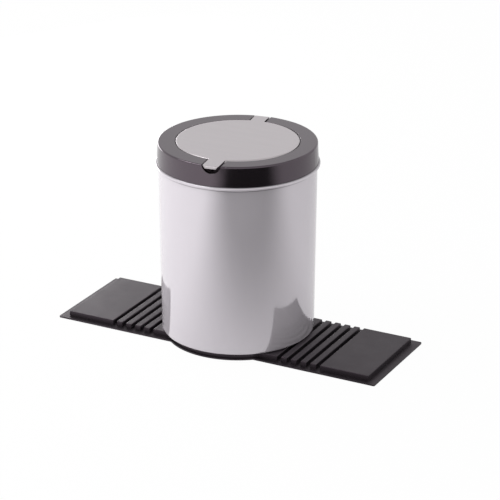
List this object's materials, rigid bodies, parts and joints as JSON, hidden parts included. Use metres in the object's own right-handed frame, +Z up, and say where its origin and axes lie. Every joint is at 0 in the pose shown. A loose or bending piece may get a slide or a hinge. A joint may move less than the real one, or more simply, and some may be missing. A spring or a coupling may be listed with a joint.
{
  "type": "car trash bin",
  "caption": "Round silver metal bin with a black ring lid and hinged silver flap, riveted to a ribbed black rubber mat that drapes over a car's floor tunnel.",
  "frame": {"origin": "on the can's axis, where the underside of the mat meets the floor", "axes": "+X along the mat, -Y towards the finger tab's side, +Z up the can's axis"},
  "size_m": [0.34, 0.1554, 0.1952],
  "materials": {
    "mat_rubber": "satin moulded",
    "can_silver": "smooth glossy lacquered silver",
    "rivet_metal": "plain",
    "washer_steel": "zinc plated",
    "ring_black": "satin moulded",
    "flap_silver": "matte silver",
    "pin_steel": "plain"
  },
  "bodies": {
    "base": {"base_mat": "mat_rubber", "can": "can_silver", "rivets": "rivet_metal", "rivet_washers": "washer_steel"},
    "lid": {"lid_ring": "ring_black", "hinge_pin": "pin_steel"},
    "flap": {"flap": "flap_silver"}
  },
  "joints": [
    {"name": "lid_lift", "type": "slide", "parent": "base", "child": "lid", "axis": [0, 0, 1], "range_m": [0, 0.06]},
    {"name": "flap_hinge", "type": "hinge", "parent": "lid", "child": "flap", "pos_m": [-0.01122, 0.07082, 0.19265], "axis": [-0.9877, -0.1564, 0], "range_deg": [0, 100]}
  ]
}
